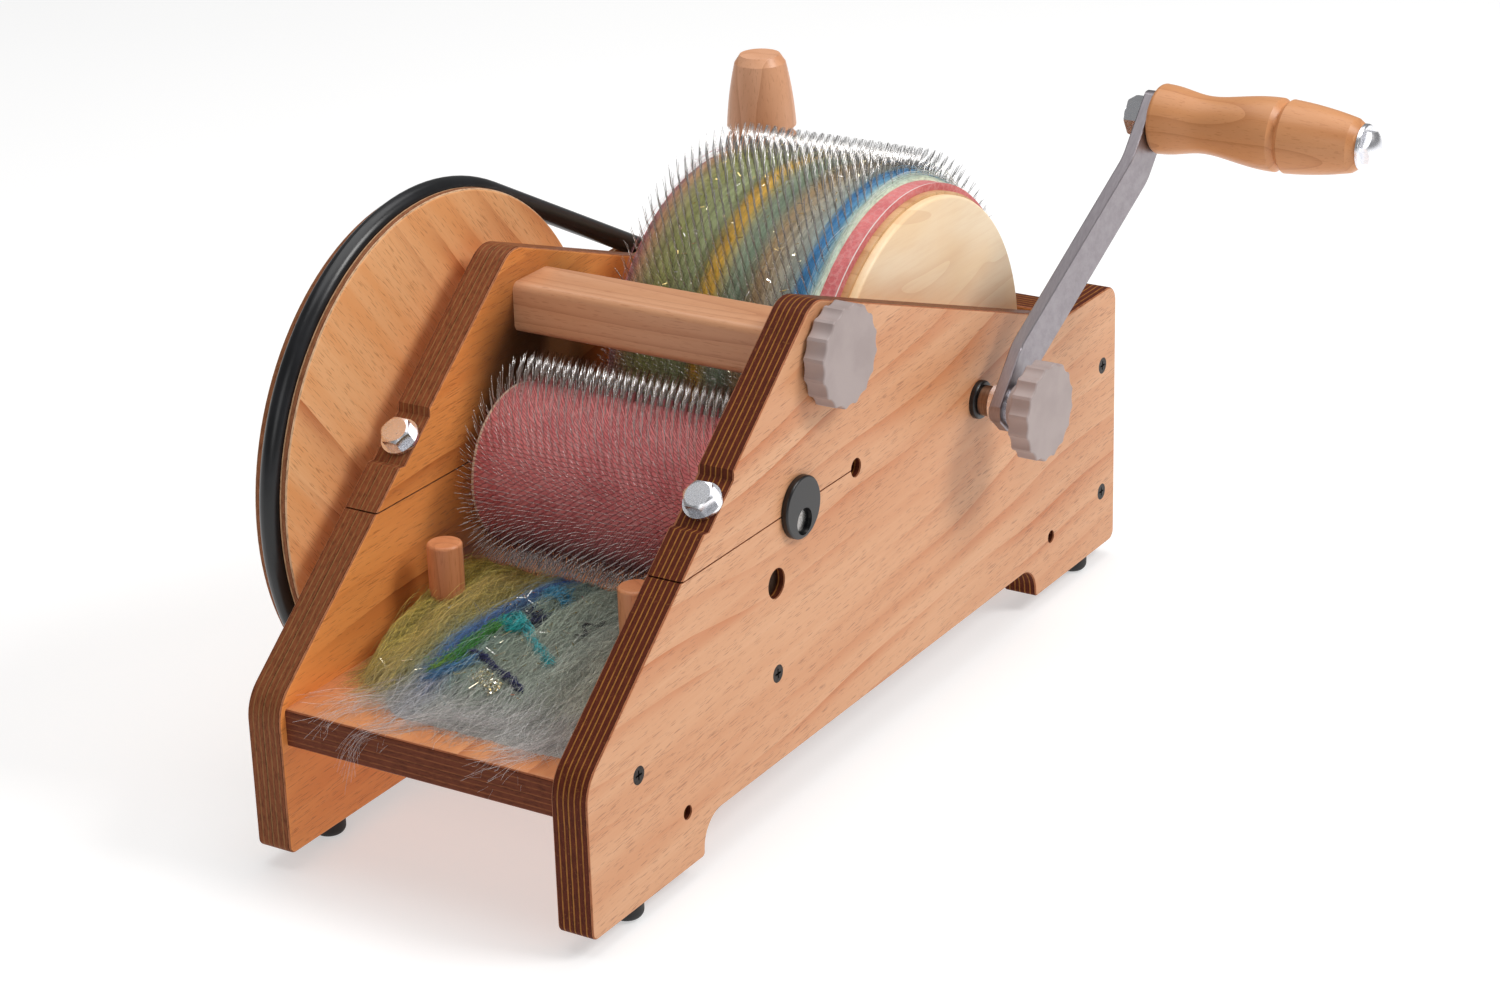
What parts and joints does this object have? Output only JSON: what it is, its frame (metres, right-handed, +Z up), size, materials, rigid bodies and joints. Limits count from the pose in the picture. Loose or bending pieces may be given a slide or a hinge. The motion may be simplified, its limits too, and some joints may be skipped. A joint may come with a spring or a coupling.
{
  "type": "drum carder",
  "caption": "Hand-cranked drum carder: toothed drum and small feed roller between plywood side panels, belt drive outside, crank with turned handle, feed tray in front.",
  "frame": {"origin": "bottom centre of the machine's bounding box at rest, on the surface it stands on", "axes": "+Y from the feeding end to the back, +X towards the crank, +Z up"},
  "size_m": [0.3697, 0.4818, 0.2663],
  "materials": {
    "panel_plywood": "lacquered beech-faced plywood, dark and light veneer stripes on the edges",
    "tray_plywood": "lacquered plywood",
    "rear_plywood": "lacquered plywood",
    "wheel_plywood": "lacquered plywood, orange brown face",
    "beech": "satin turned beech",
    "beech_bar": "satin planed beech",
    "turned_beech": "waxed turned beech",
    "drum_wood": "sanded wood",
    "pine": "lacquered pine",
    "black_nylon": "black moulded nylon",
    "white_nylon": "natural nylon",
    "zinc_steel": "bright zinc plate",
    "bright_steel": "turned bright steel",
    "arm_steel": "satin nickel plated flat bar",
    "black_screw": "black phosphate",
    "black_rubber": "black rubber",
    "belt_rubber": "smooth black belt",
    "brass": "turned brass",
    "grey_plastic": "warm grey moulded plastic",
    "card_cloth": "red-pink card cloth foundation",
    "tooth_wire": "bent steel wire",
    "drum_wool": "combed wool in coloured bands",
    "feed_wool": "loose wool with coloured locks"
  },
  "bodies": {
    "frame": {"side_panel_left": "panel_plywood", "side_panel_right": "panel_plywood", "feed_tray": "tray_plywood", "rear_board": "rear_plywood", "tie_bar": "beech_bar", "guide_peg_left": "beech", "guide_peg_right": "beech", "drum_bush_left": "black_nylon", "drum_bush_right": "black_nylon", "barrel_nut_left": "zinc_steel", "barrel_nut_right": "zinc_steel", "tray_screws": "black_screw", "rear_board_screws": "black_screw", "tie_bar_screw": "black_screw", "rubber_feet": "black_rubber", "tie_bar_insert": "brass", "drive_belt": "belt_rubber", "feed_fibre": "feed_wool"},
    "drum": {"drum_core": "drum_wood", "drum_end_disc_right": "pine", "drum_end_disc_left": "pine", "drum_card_cloth": "card_cloth", "drum_teeth": "tooth_wire", "drum_fibre": "drum_wool", "drum_shaft": "bright_steel", "drum_collars": "white_nylon", "drive_pulley": "wheel_plywood", "pulley_spacer": "bright_steel", "pulley_nut": "zinc_steel", "pulley_washer": "zinc_steel", "crank_sleeve": "bright_steel", "arm_washers": "zinc_steel", "crank_arm": "arm_steel", "grip_bolt": "zinc_steel", "grip_nut": "zinc_steel"},
    "crank_handle": {"crank_grip": "turned_beech"},
    "crank_knob_body": {"crank_knob": "grey_plastic", "crank_knob_insert": "brass"},
    "gap_bushes": {"gap_bush_left": "black_nylon", "gap_bush_right": "black_nylon"},
    "licker_in": {"licker_core": "drum_wood", "licker_card_cloth": "card_cloth", "licker_teeth": "tooth_wire", "licker_shaft": "bright_steel", "licker_collars": "white_nylon", "drive_wheel": "wheel_plywood", "wheel_spacer": "bright_steel", "wheel_nut": "zinc_steel", "wheel_washer": "zinc_steel"},
    "clamp_bolt_left_body": {"clamp_bolt_left": "zinc_steel"},
    "clamp_bolt_right_body": {"clamp_bolt_right": "zinc_steel"},
    "tie_bar_knob_body": {"tie_bar_knob": "grey_plastic", "tie_bar_stud": "zinc_steel"},
    "doffing_awl": {"awl_handle": "turned_beech", "awl_ferrule": "brass", "awl_blade": "bright_steel"}
  },
  "joints": [
    {"name": "crank_turn", "type": "hinge", "parent": "frame", "child": "drum", "pos_m": [-0.05735, 0.09465, 0.1342], "axis": [1, 0, 0], "continuous": true},
    {"name": "licker_turn", "type": "hinge", "parent": "gap_bushes", "child": "licker_in", "pos_m": [-0.05735, -0.07085, 0.1342], "axis": [1, 0, 0], "continuous": true},
    {"name": "gap_adjust", "type": "hinge", "parent": "frame", "child": "gap_bushes", "pos_m": [-0.05735, -0.07085, 0.1407], "axis": [1, 0, 0], "range_deg": [-12, 0]},
    {"name": "grip_spin", "type": "hinge", "parent": "drum", "child": "crank_handle", "pos_m": [0.12185, 0.20111, 0.24877], "axis": [1, 0, 0], "continuous": true},
    {"name": "crank_knob_turn", "type": "hinge", "parent": "drum", "child": "crank_knob_body", "pos_m": [0.06115, 0.09465, 0.1342], "axis": [1, 0, 0], "range_deg": [0, 540]},
    {"name": "tie_bar_knob_turn", "type": "hinge", "parent": "frame", "child": "tie_bar_knob_body", "pos_m": [0.03465, -0.04285, 0.203], "axis": [1, 0, 0], "range_deg": [0, 540]},
    {"name": "clamp_bolt_left_turn", "type": "hinge", "parent": "frame", "child": "clamp_bolt_left_body", "pos_m": [-0.13665, -0.13393, 0.16566], "axis": [0, -0.6288, 0.7776], "range_deg": [0, 180]},
    {"name": "clamp_bolt_right_turn", "type": "hinge", "parent": "frame", "child": "clamp_bolt_right_body", "pos_m": [0.02195, -0.13393, 0.16566], "axis": [0, -0.6288, 0.7776], "range_deg": [0, 180]},
    {"name": "awl_lift", "type": "slide", "parent": "frame", "child": "doffing_awl", "axis": [0, 0, 1], "range_m": [0, 0.092]}
  ],
  "couplings": [
    {"joint": "licker_turn", "follows": "crank_turn", "ratio": 0.35565}
  ]
}
